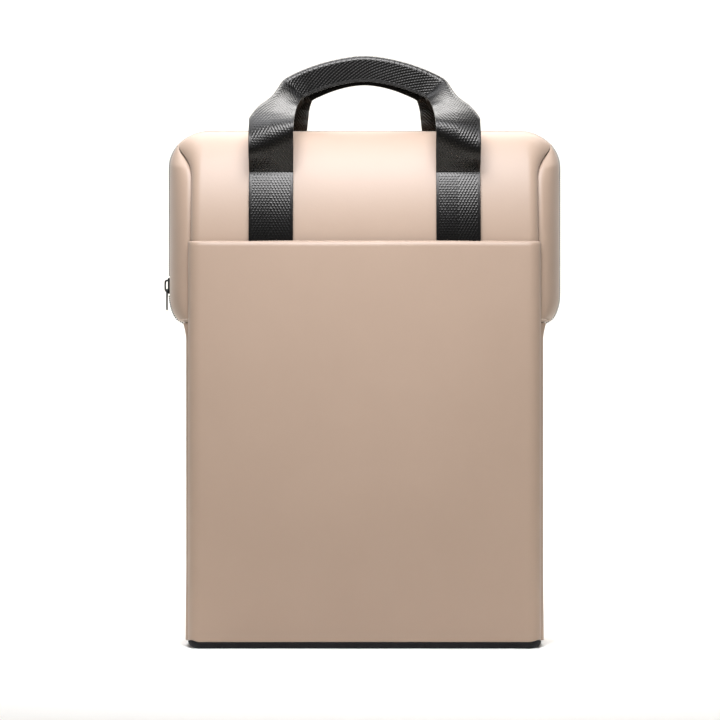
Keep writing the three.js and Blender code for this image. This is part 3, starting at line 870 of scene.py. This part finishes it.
for end_name, wall, stitch, low, free_rows in (
    ("front", FRONT, front_stitch, front_low, FREE_FRONT),
    ("rear", BACK, rear_stitch, rear_low, FREE_REAR),
):
    face, spine = handle(
        f"{end_name}_handle_webbing", wall, stitch, low, free_rows, [f"handle_{end_name}"]
    )
    handle_stitches(f"{end_name}_handle_stitches", face, spine, wall, stitch)


# Base


def rounded_rectangle(half_x, half_y, radius, around):
    """A point of a rounded rectangle whose corners and sides keep their shares of the way around."""
    end, corner_turn, front = 0.11, 0.06, 0.27
    runs = [end, corner_turn, front, corner_turn] * 2
    corners = [(1, 1), (-1, 1), (-1, -1), (1, -1)]
    along = around % 1.0
    k = 0
    while along > runs[k] and k < len(runs) - 1:
        along -= runs[k]
        k += 1
    along = min(1.0, along / runs[k])
    corner = corners[k // 2]
    centre = Vector((corner[0] * (half_x - radius), corner[1] * (half_y - radius)))
    start = math.pi / 2 * (k // 2)
    if k % 2:
        angle = start + along * math.pi / 2
        return centre + Vector((math.cos(angle), math.sin(angle))) * radius
    before = corners[(k // 2 - 1) % 4]
    last = Vector((before[0] * (half_x - radius), before[1] * (half_y - radius)))
    return last.lerp(centre, along) + Vector((math.cos(start), math.sin(start))) * radius


def base_point(around, out):
    """The base's outer face from its middle (0) over its flat bottom and up its rim (1)."""
    half_y = half_depth + pocket_lift / 2
    if out < BASE_FLAT:
        inset, rise = mix(half_y - 0.5, BASE_SINK, out / BASE_FLAT), 0.0
    else:
        turn = math.pi / 2 * (out - BASE_FLAT) / (1 - BASE_FLAT)
        inset, rise = BASE_SINK * (1 - math.sin(turn)), 1 - math.cos(turn)
    radius = max(0.2, SEAM_ROUND + pocket_lift - inset)
    place = rounded_rectangle(base_half - inset, half_y - inset, radius, around)
    y = place.y - pocket_lift / 2
    lift = END_LIFT * clamp01((abs(place.x) - half_width + END_REACH) / END_REACH) ** 2
    return Vector((place.x, y, mix(lift, base_seam(place.x, y), rise)))


base_bm = sheet_mesh(base_point, BASE_GRID, (2 * (BODY_WIDTH + BODY_DEPTH), half_depth))
bmesh.ops.remove_doubles(base_bm, verts=base_bm.verts, dist=0.02 * MM)
thickened(
    finished("base_skin", base_bm, black_base_and_painted_shadow, nodes=["base_panel"]), SKIN
)

# Zip
tape = finished(
    "zip_tape_cloth",
    sheet_mesh(
        lambda u, v: tape_point(2 * v - 1, 2 * u - 1), TAPE_GRID, (ZIP_WIDTH, TAPE_LENGTH), True
    ),
    tape_cloth,
    nodes=["zip_tape"],
)
thickened(tape, ZIP_TAPE, TAPE_EDGE)


def zip_coil():
    """The coil's ribs across the zip, which leave room for the slider."""
    path = Path([tape_point(i / 60, 0, COIL_LIFT) for i in range(-60, 61)], 8)
    bm = bmesh.new()
    count = round(path.length / COIL_PITCH)
    for i in range(count):
        share = (i + 0.5) / count
        place = path.point(share)
        if place.x < 0 and abs(place.z - SLIDER_HEIGHT) < SLIDER_LENGTH / 2 + 1:
            continue
        rib = COIL_RIB / 2 * MM
        made = bmesh.ops.create_cone(
            bm, cap_ends=True, segments=7, radius1=rib, radius2=rib, depth=COIL_WIDTH * MM
        )["verts"]
        lying = Matrix.Rotation(math.pi / 2, 4, "X")
        turn = path.tangent(share).to_track_quat("X", "Y").to_matrix().to_4x4()
        wide = Matrix.Diagonal((COIL_SQUASH, 1, 1, 1))
        placed = Matrix.Translation(place * MM) @ turn @ wide @ lying
        bmesh.ops.transform(bm, matrix=placed, verts=made)
    for face in bm.faces:
        face.smooth = len(face.verts) == 4
    return finished("zip_coil_ribs", bm, coil_nylon)


zip_coil()


# Slider and pull tab


def boxed(bm, low, high, bevel=0.4):
    """A box between two corners in millimetres, with rounded edges."""
    made = bmesh.ops.create_cube(bm, size=1)["verts"]
    size = [b - a for a, b in zip(low, high)]
    middle = Vector([(a + b) / 2 for a, b in zip(low, high)])
    bmesh.ops.scale(bm, vec=[x * MM for x in size], verts=made)
    bmesh.ops.translate(bm, vec=middle * MM, verts=made)
    edges = list({e for v in made for e in v.link_edges})
    bmesh.ops.bevel(
        bm, geom=edges, offset=bevel * MM, affect="EDGES", segments=3, profile=0.5, material=-1
    )


def ring_of(bm, outer, inner, count, thickness, bevel=0.25):
    """A flat ring in the YZ plane between two outlines, with its wall along X and rounded edges."""
    loops = []
    for outline in (outer, inner):
        made = bmesh.ops.create_circle(bm, cap_ends=False, segments=count, radius=1)["verts"]
        for i, vert in enumerate(made):
            y, z = outline(2 * math.pi * i / count)
            vert.co = Vector((0, y, z)) * MM
        loops += list({e for v in made for e in v.link_edges})
    faces = bmesh.ops.bridge_loops(bm, edges=loops)["faces"]
    bmesh.ops.recalc_face_normals(bm, faces=faces)
    bmesh.ops.solidify(bm, geom=faces, thickness=thickness * MM)
    bmesh.ops.recalc_face_normals(bm, faces=bm.faces)
    sharp = [e for e in bm.edges if len(e.link_faces) == 2 and e.calc_face_angle() > 1.0]
    bmesh.ops.bevel(
        bm, geom=sharp, offset=bevel * MM, affect="EDGES", segments=2, profile=0.5, material=-1
    )


def squarish(half_y, half_z, power=0.55):
    """An outline between an ellipse and a rectangle."""

    def outline(angle):
        c, s = math.cos(angle), math.sin(angle)
        return (
            half_y * math.copysign(abs(c) ** power, c),
            half_z * math.copysign(abs(s) ** power, s),
        )

    return outline


plate_near = ear_half + FIT
plate_far = plate_near + SLIDER_PLATE
slider_low = SLIDER_HEIGHT - SLIDER_LENGTH / 2
slider_high = SLIDER_HEIGHT + SLIDER_LENGTH / 2
channel = ZIP_WIDTH - 2 * FIT
slider_bm = bmesh.new()
boxed(
    slider_bm,
    (-plate_near - SLIDER_PLATE / 2, -channel / 2, slider_low),
    (-(ear_half - ZIP_RECESS + FIT), channel / 2, slider_high),
    NECK_EDGE,
)
boxed(
    slider_bm,
    (-plate_far, -SLIDER_WIDTH / 2, slider_low),
    (-plate_near, SLIDER_WIDTH / 2, slider_high),
    PLATE_EDGE,
)
arch = bmesh.new()
arch_height = SLIDER_LENGTH / 2 - BRIDGE_INSET
arch_out = BRIDGE_ROOM + BRIDGE_WIRE
ring_of(
    arch,
    squarish(arch_out, arch_height),
    squarish(BRIDGE_ROOM, arch_height - BRIDGE_WIRE),
    40,
    BRIDGE_WIDTH,
)
lowest = min(v.co.x for v in arch.verts)
highest = max(v.co.x for v in arch.verts)
bmesh.ops.translate(arch, vec=(-(lowest + highest) / 2, 0, 0), verts=arch.verts)
bmesh.ops.rotate(arch, matrix=Matrix.Rotation(math.pi / 2, 3, "Z"), verts=arch.verts)
for vert in arch.verts:
    vert.co.x = min(vert.co.x, 0.5 * MM) - plate_far * MM
    vert.co.z += SLIDER_HEIGHT * MM
arch_mesh = bpy.data.meshes.new("arch")
arch.to_mesh(arch_mesh)
arch.free()
slider_bm.from_mesh(arch_mesh)
bpy.data.meshes.remove(arch_mesh)
for face in slider_bm.faces:
    face.smooth = True
finished("slider_body", slider_bm, zinc, nodes=["zip_slider"])

bar_out = plate_far + BRIDGE_ROOM / 2
bar_height = slider_low + BRIDGE_INSET + BRIDGE_WIRE + BRIDGE_ROOM / 2
tab_middle = bar_height + TAB_WIRE / 2 - TAB_LENGTH / 2
eye_middle = bar_height - TAB_WIRE / 2 - TAB_EYE / 2
tab_bm = bmesh.new()


def eye_outline(angle):
    y, z = squarish(TAB_EYE_WIDTH / 2, TAB_EYE / 2, 0.6)(angle)
    return y, z + eye_middle - tab_middle


ring_of(tab_bm, squarish(TAB_WIDTH / 2, TAB_LENGTH / 2, 0.5), eye_outline, 48, TAB_WIRE)
shift = (min(v.co.x for v in tab_bm.verts) + max(v.co.x for v in tab_bm.verts)) / 2
bmesh.ops.translate(tab_bm, vec=(-bar_out * MM - shift, 0, tab_middle * MM), verts=tab_bm.verts)
for face in tab_bm.faces:
    face.smooth = True
finished("pull_tab_plate", tab_bm, zinc, body="pull_tab", nodes=["zip_pull"])


# Shoulder straps

# across: share of half the body's width; off: share of the stand-off; up: share of its height
PAD_PATH = [
    (0.21, 0, 0.79),
    (0.21, 0, 0.82),
    (0.22, 0.12, 0.85),
    (0.24, 0.5, 0.862),
    (0.28, 0.86, 0.82),
    (0.33, 1.02, 0.73),
    (0.4, 1.0, 0.61),
    (0.48, 0.9, 0.49),
    (0.54, 0.78, 0.4),
]
WEBBING_PATH = [
    (0.64, 0.56, 0.28),
    (0.76, 0.22, 0.16),
    (0.82, 0.02, 0.1),
    (0.83, 0, 0.075),
    (0.84, 0, 0.05),
]


def strap_points(path, side, lift):
    wall = half_depth + SEAM_GAP + lift
    return [
        Vector((side * across * half_width, wall + off * STRAP_STANDOFF, up * BODY_HEIGHT))
        for across, off, up in path
    ]


def strap_frame(path, share):
    """A place of a strap, the direction level across it and the one out of its outer face."""
    along = path.tangent(share)
    level = Vector((1, 0, 0)) - along * along.x
    level.normalize()
    return path.point(share), level, level.cross(along)


PAD_SLIM = 0.72  # of its thickness, before the simulation fills it
PAD_SWELL = 1.6  # mm that the filling may push its skin
PAD_END = 5
CHANNEL = 0.8  # of half its width, where its sewn channels run
CHANNEL_WIDTH = 0.05
CHANNEL_DEPTH = 0.3
PAD_SQUARE = 0.5  # power of its section across: less is squarer
PAD_CROWN = 0.62  # power of its section's thickness: less is flatter
CHANNEL_SPAN = (0.06, 0.97)  # of its length, where the channels are stitched
CHANNEL_RUN = 0.9


def pad_point(path, around, along):
    """The pad's skin before it is filled: drawn in along its sewn channels, closed at both ends."""
    place, level, outwards = strap_frame(path, along)
    angle = 2 * math.pi * around
    c, s = math.cos(angle), math.sin(angle)
    across = math.copysign(abs(c) ** PAD_SQUARE, c)
    near_end = min(along, 1 - along) * path.length
    end = math.sqrt(1 - (1 - clamp01(near_end / PAD_END)) ** 2)
    drawn_in = CHANNEL_DEPTH * math.exp(-(((abs(across) - CHANNEL) / CHANNEL_WIDTH) ** 2))
    crown = math.copysign(abs(s) ** PAD_CROWN, s)
    thick = PAD_SLIM * STRAP_PAD / 2 * crown * (1 - drawn_in) * end
    return place + level * (across * STRAP_WIDTH / 2) + outwards * (thick - STRAP_PAD / 2)


def filled(piece, sewn, pressure=4, frames=20):
    """Fills a closed skin as cloth under pressure; its sewn points stay, and no point moves far."""
    start = [vert.co.copy() for vert in piece.data.vertices]
    group = piece.vertex_groups.new(name="sewn")
    group.add([i for i, place in enumerate(start) if sewn(place)], 1.0, "REPLACE")
    cloth = piece.modifiers.new("filling", "CLOTH")
    cloth.settings.use_pressure = True
    cloth.settings.uniform_pressure_force = pressure
    cloth.settings.effector_weights.gravity = 0
    cloth.settings.vertex_group_mass = "sewn"
    cloth.settings.tension_stiffness = cloth.settings.compression_stiffness = 12
    cloth.settings.bending_stiffness = 0.4
    cloth.collision_settings.use_collision = False
    for frame_number in range(1, frames + 1):
        bpy.context.scene.frame_set(frame_number)
    posed = piece.evaluated_get(bpy.context.evaluated_depsgraph_get())
    moved = posed.to_mesh()
    ends = [vert.co.copy() for vert in moved.vertices]
    posed.to_mesh_clear()
    piece.modifiers.remove(cloth)
    piece.vertex_groups.remove(group)
    for vert, before, after in zip(piece.data.vertices, start, ends):
        step = after - before
        vert.co = before + step * min(1.0, PAD_SWELL * MM / max(step.length, 1e-9))
    bpy.context.scene.frame_set(1)


def shoulder_pad(side_name, side):
    """The padded upper strap: filled, rounded and stitched along its channels."""
    pad_path = Path(strap_points(PAD_PATH, side, 0))
    around = 2 * (STRAP_WIDTH + STRAP_PAD)
    bm = sheet_mesh(lambda u, v: pad_point(pad_path, u, v), PAD_GRID, (around, pad_path.length))
    bmesh.ops.remove_doubles(bm, verts=bm.verts, dist=0.01 * MM)
    bmesh.ops.recalc_face_normals(bm, faces=bm.faces)
    pad = finished(
        f"shoulder_pad_{side_name}",
        bm,
        fabric,
        nodes=[f"shoulder_strap_{side_name}"],
    )
    frames = [(i / 200, *strap_frame(pad_path, i / 200)) for i in range(201)]

    def sewn(place):
        """Whether a point of the skin lies in a channel or close to an end."""
        share, middle, level, _ = min(frames, key=lambda f: (f[1] * MM - place).length_squared)
        across = abs((place / MM - middle).dot(level)) / (STRAP_WIDTH / 2)
        near_end = min(share, 1 - share) * pad_path.length
        return abs(across - CHANNEL) < 0.8 * CHANNEL_WIDTH or near_end < 0.8 * PAD_END

    filled(pad, sewn)
    rounder = pad.modifiers.new("rounder", "SUBSURF")
    rounder.levels = rounder.render_levels = 1
    places = []
    for edge in (-CHANNEL, CHANNEL):

        def on_channel(share, edge=edge):
            place, level, outwards = strap_frame(pad_path, mix(*CHANNEL_SPAN, share))
            return place + level * (edge * STRAP_WIDTH / 2) - outwards * STITCH_SINK

        places += stitch_row(
            on_channel,
            lambda share: strap_frame(pad_path, mix(*CHANNEL_SPAN, share))[2],
            pad_path.length * CHANNEL_RUN,
        )
    stitches(f"shoulder_pad_stitches_{side_name}", places, beige_thread)
    return pad_path


def lower_strap(side_name, side, pad_path):
    """The webbing from the pad's lower end to the body's side."""
    overlap = STRAP_OVERLAP / pad_path.length
    sewn = []
    for share in (1 - overlap, 1 - overlap * 2 / 3, 1 - overlap / 3, 1):
        place, _, outwards = strap_frame(pad_path, share)
        sewn.append(place + outwards * (SEAM_GAP + WEBBING_CLOTH))
    lower = Path(sewn + strap_points(WEBBING_PATH, side, WEBBING_CLOTH))

    def webbing_point(u, v):
        place, level, _ = strap_frame(lower, v)
        return place + level * ((u - 0.5) * STRAP_WEBBING)

    webbing = finished(
        f"lower_webbing_{side_name}",
        sheet_mesh(webbing_point, WEBBING_GRID, (STRAP_WEBBING, lower.length)),
        strap_webbing,
        nodes=[f"strap_webbing_{side_name}"],
    )
    thickened(webbing, WEBBING_CLOTH)
    return lower


def ladder_lock(side_name, lower):
    """The adjuster round the webbing: two rails, three bars over it and one under it."""
    at = (STRAP_OVERLAP + ADJUSTER_LENGTH) / lower.length
    place, level, outwards = strap_frame(lower, at)
    room_x = STRAP_WEBBING / 2 + FIT
    room_y = WEBBING_CLOTH / 2 + FIT
    wide = room_x + ADJUSTER_WALL
    thick = room_y + ADJUSTER_WALL / 2
    half = ADJUSTER_LENGTH / 2
    bar = ADJUSTER_BAR / 2
    keeper = ADJUSTER_KEEPER / 2
    bar_x = room_x + ADJUSTER_SINK
    bm = bmesh.new()
    for x in (-1, 1):
        rail = sorted((x * room_x, x * wide))
        boxed(bm, (rail[0], -thick, -half), (rail[1], thick, half), RAIL_EDGE)
    for z in (-half + bar, 0, half - bar):
        boxed(bm, (-bar_x, room_y, z - bar), (bar_x, thick, z + bar), BAR_EDGE)
    boxed(bm, (-bar_x, -thick, -keeper), (bar_x, -room_y, keeper), BAR_EDGE)
    turn = Matrix((level, outwards, level.cross(outwards))).transposed().to_4x4()
    seat = (place - outwards * (WEBBING_CLOTH / 2)) * MM
    bmesh.ops.transform(bm, matrix=Matrix.Translation(seat) @ turn, verts=bm.verts)
    for face in bm.faces:
        face.smooth = True
    finished(
        f"ladder_lock_{side_name}",
        bm,
        acetal,
        nodes=[f"strap_adjuster_{side_name}"],
    )


for side_name, side in SIDES:
    upper_path = shoulder_pad(side_name, side)
    lower_path = lower_strap(side_name, side, upper_path)
    ladder_lock(side_name, lower_path)

# Floor and studio light
FLOOR_WIDTH = 8.0  # this and the sweep's sizes are in metres
FLOOR_NEAR = 4.0
SWEEP_START = 2.0
SWEEP_RADIUS = 1.0
BACKDROP_RISE = 3.0


def sweep_point(u, v):
    """A floor that curves up to a backdrop far behind the bag."""
    x = (u - 0.5) * FLOOR_WIDTH
    flat = FLOOR_NEAR + SWEEP_START
    quarter = SWEEP_RADIUS * math.pi / 2
    run = v * (flat + quarter + BACKDROP_RISE)
    if run < flat:
        return Vector((x, run - FLOOR_NEAR, 0)) / MM
    angle = min(run - flat, quarter) / SWEEP_RADIUS
    y = SWEEP_START + SWEEP_RADIUS * math.sin(angle)
    z = SWEEP_RADIUS * (1 - math.cos(angle)) + max(0.0, run - flat - quarter)
    return Vector((x, y, z)) / MM


paper, _, _ = finish_named("studio paper, white", Roughness=0.9, Base_Color=linear("#fbf8f2"))
sweep_mesh = bpy.data.meshes.new("studio_floor")
sweep_bm = sheet_mesh(sweep_point, FLOOR_GRID)
sweep_bm.to_mesh(sweep_mesh)
sweep_bm.free()
sweep_mesh.materials.append(paper)
floor = bpy.data.objects.new("studio_floor", sweep_mesh)
bpy.context.scene.collection.objects.link(floor)


def softbox(name, place, aim, size, power, spread=180, colour=(1, 1, 1)):
    """A soft light that points at a place; a grid in front of it narrows its spread."""
    light = bpy.data.lights.new(name, "AREA")
    light.shape = "RECTANGLE"
    light.size, light.size_y = size
    light.energy = power
    light.color = colour
    light.spread = math.radians(spread)
    made = bpy.data.objects.new(name, light)
    made.location = place
    made.rotation_euler = (Vector(aim) - Vector(place)).to_track_quat("-Z", "Y").to_euler()
    bpy.context.scene.collection.objects.link(made)


COOL = (0.955, 1.0, 1.1)
softbox("top_light", (-0.03, -0.2, 1.1), (0, -0.15, 0.3), (1.2, 0.4), 2.8, 120, COOL)
softbox("near_light", (-0.03, -0.55, 0.95), (-0.01, -0.06, 0.42), (0.5, 0.4), 2.55, 80, COOL)
softbox("rear_light", (0, 0.6, 1.5), (0, 0, 0.4), (1.0, 0.6), 2.0, 120)
softbox("backdrop_light", (0, 1.6, 2.6), (0, 2.2, 0), (4.0, 1.5), 110)

ROOM_LIGHT = 0.08
world = bpy.data.worlds.new("studio")
bpy.context.scene.world = world
world.use_nodes = True
room = world.node_tree.nodes["Background"]
room.inputs["Color"].default_value = linear("#ffffff")
room.inputs["Strength"].default_value = ROOM_LIGHT
bpy.context.scene.view_settings.view_transform = "Standard"
